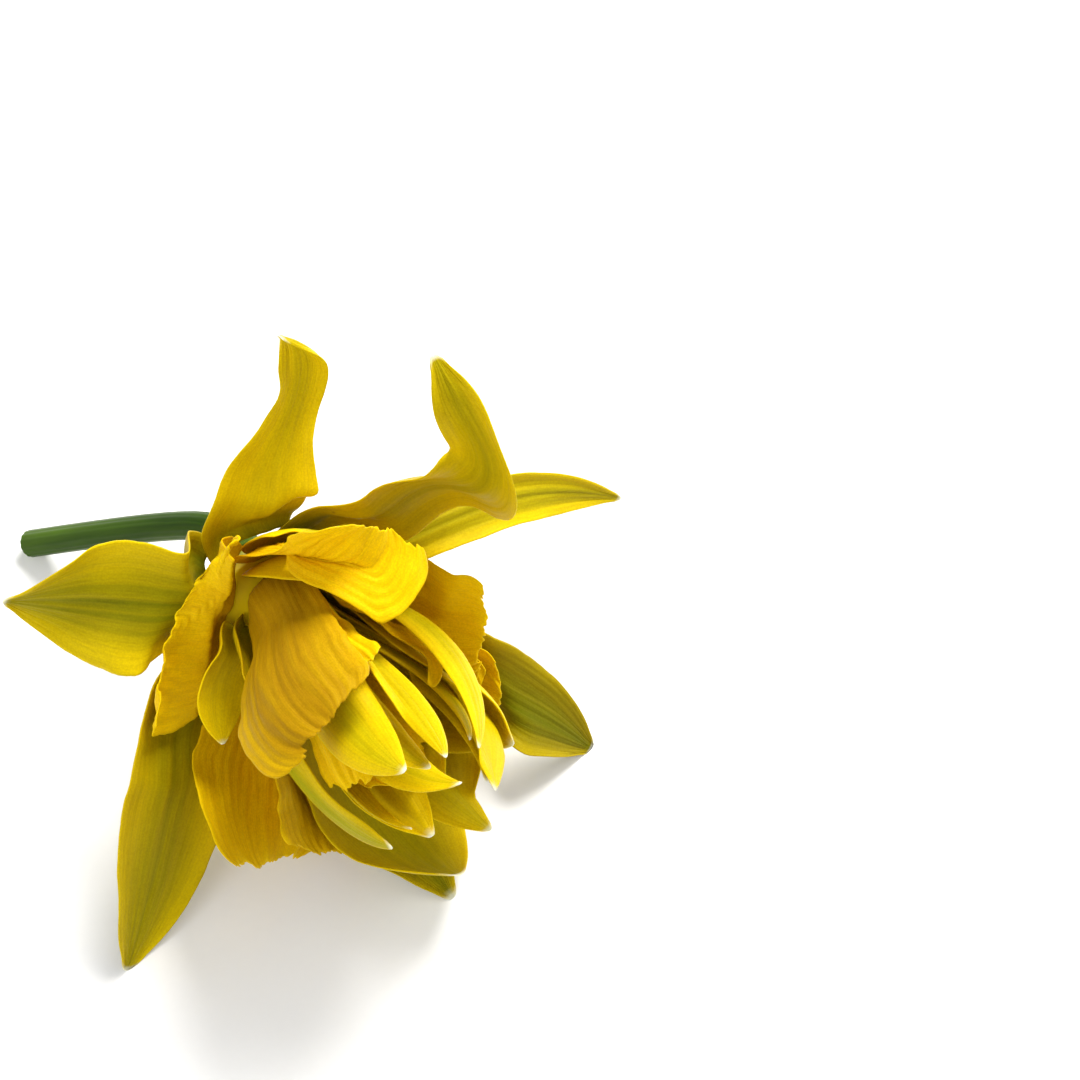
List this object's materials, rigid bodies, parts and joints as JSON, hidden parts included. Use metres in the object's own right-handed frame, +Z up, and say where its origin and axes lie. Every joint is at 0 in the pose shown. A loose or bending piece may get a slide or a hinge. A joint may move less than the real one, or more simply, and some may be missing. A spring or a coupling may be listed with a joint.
{
  "type": "daffodil flower",
  "caption": "Cut double daffodil lying on its side: pointed yellow tepals round a ruffled golden corona and a packed heart, on a short green stalk.",
  "frame": {"origin": "middle of the bounding box's foot, on the surface the flower lies on", "axes": "+X from the cut stalk's side to the far tepals, +Y away from the mouth's side, +Z up from the surface; the flower opens towards -Y and +X"},
  "size_m": [0.0931, 0.0727, 0.0681],
  "materials": {
    "petal_tepal": "satin petal, lemon yellow with an olive cast along the middle and a white nib",
    "petal_corona": "satin petal, golden orange-yellow with fine lengthwise wrinkles",
    "tube_green": "satin, yellow-green",
    "ovary_green": "satin, mid green",
    "stalk_green": "smooth waxy dark green"
  },
  "bodies": {
    "root": {"tepal_centre": "petal_tepal", "corona_heart_left": "petal_corona", "corona_heart_right": "petal_corona", "corona_heart_low": "petal_corona", "tepal_heart": "petal_tepal", "corona_mouth_left": "petal_corona", "tepal_mouth_left": "petal_tepal", "tepal_front_narrow": "petal_tepal", "tepal_slim_right": "petal_tepal", "tepal_mouth_right": "petal_tepal", "tepal_mouth_far": "petal_tepal", "tepal_mouth_base": "petal_tepal", "tepal_mouth_under": "petal_tepal", "tepal_mouth_low": "petal_tepal", "tepal_front": "petal_tepal", "tepal_front_upper": "petal_tepal", "corona_front_right": "petal_corona", "tepal_long_right": "petal_tepal", "corona_front_upper": "petal_corona", "corona_front": "petal_corona", "tepal_edge_left": "petal_tepal", "tepal_inner_right": "petal_tepal", "tepal_inner_left": "petal_tepal", "tepal_inner_bottom": "petal_tepal", "corona_upper_right": "petal_corona", "tepal_inner_top": "petal_tepal", "corona_right": "petal_corona", "corona_ring_far": "petal_corona", "corona_ring_under": "petal_corona", "corona_bottom": "petal_corona", "corona_bottom_left": "petal_corona", "corona_lower_right": "petal_corona", "corona_left": "petal_corona", "tepal_upper_right": "petal_tepal", "tepal_bottom": "petal_tepal", "tepal_lower_left": "petal_tepal", "tepal_lower_right": "petal_tepal", "tepal_up": "petal_tepal", "tepal_right": "petal_tepal", "tepal_left": "petal_tepal", "perianth_tube": "tube_green", "ovary": "ovary_green", "flower_stalk": "stalk_green"}
  },
  "joints": []
}
